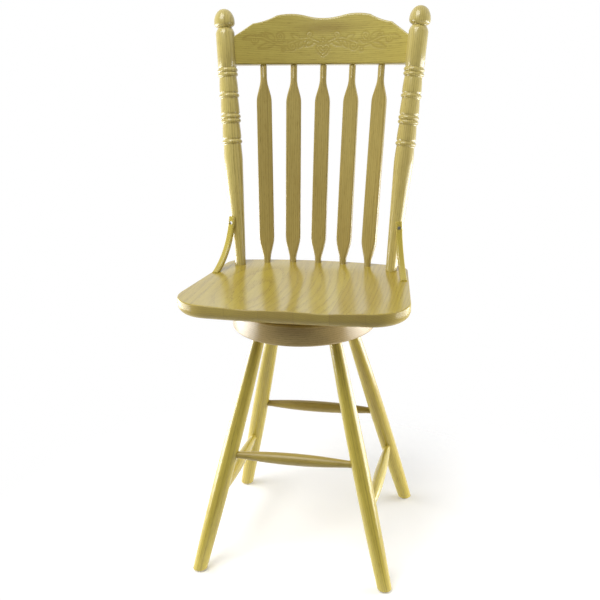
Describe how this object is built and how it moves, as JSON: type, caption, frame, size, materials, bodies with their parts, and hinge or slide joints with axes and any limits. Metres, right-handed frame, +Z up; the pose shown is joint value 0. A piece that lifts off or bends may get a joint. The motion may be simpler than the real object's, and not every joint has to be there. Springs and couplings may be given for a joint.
{
  "type": "swivel bar stool",
  "caption": "Wooden counter-height bar stool with a saddled seat that swivels on a ball-bearing plate, an arrow-slat back between turned posts, and splayed turned legs",
  "frame": {"origin": "on the floor under the axis of the swivel, midway between the four feet", "axes": "+Z up along the swivel's axis, -Y the way the sitter faces at rest, +X to the right seen from the front"},
  "size_m": [0.4812, 0.4921, 1.1675],
  "materials": {
    "varnished_oak": "gloss varnish",
    "zinc_plated_steel": "zinc plated",
    "plain_steel": "satin",
    "polished_steel": "polished",
    "nylon": "matt"
  },
  "bodies": {
    "base": {"leg_block": "varnished_oak", "front_left_leg": "varnished_oak", "front_right_leg": "varnished_oak", "rear_left_leg": "varnished_oak", "rear_right_leg": "varnished_oak", "front_stretcher": "varnished_oak", "rear_stretcher": "varnished_oak", "left_stretcher": "varnished_oak", "right_stretcher": "varnished_oak", "front_left_glide": "nylon", "front_right_glide": "nylon", "rear_left_glide": "nylon", "rear_right_glide": "nylon", "glide_nails": "plain_steel", "lower_swivel_plate": "zinc_plated_steel", "lower_plate_screws": "zinc_plated_steel", "swivel_rivet": "plain_steel"},
    "ball_ring": {"ball_cage": "plain_steel", "bearing_balls": "polished_steel"},
    "seat_and_back": {"upper_swivel_plate": "zinc_plated_steel", "upper_plate_screws": "zinc_plated_steel", "seat": "varnished_oak", "left_back_post": "varnished_oak", "right_back_post": "varnished_oak", "back_slat_1": "varnished_oak", "back_slat_2": "varnished_oak", "back_slat_3": "varnished_oak", "back_slat_4": "varnished_oak", "back_slat_5": "varnished_oak", "crest_rail": "varnished_oak", "crest_pins": "plain_steel", "left_side_brace": "varnished_oak", "right_side_brace": "varnished_oak", "brace_post_screws": "zinc_plated_steel", "brace_seat_screws": "zinc_plated_steel"}
  },
  "joints": [
    {"name": "seat_swivel", "type": "hinge", "parent": "base", "child": "seat_and_back", "pos_m": [0, 0, 0.5715], "axis": [0, 0, 1], "continuous": true},
    {"name": "ball_ring_roll", "type": "hinge", "parent": "base", "child": "ball_ring", "pos_m": [0, 0, 0.5715], "axis": [0, 0, 1], "continuous": true}
  ],
  "couplings": [
    {"joint": "ball_ring_roll", "follows": "seat_swivel", "ratio": 0.5}
  ]
}
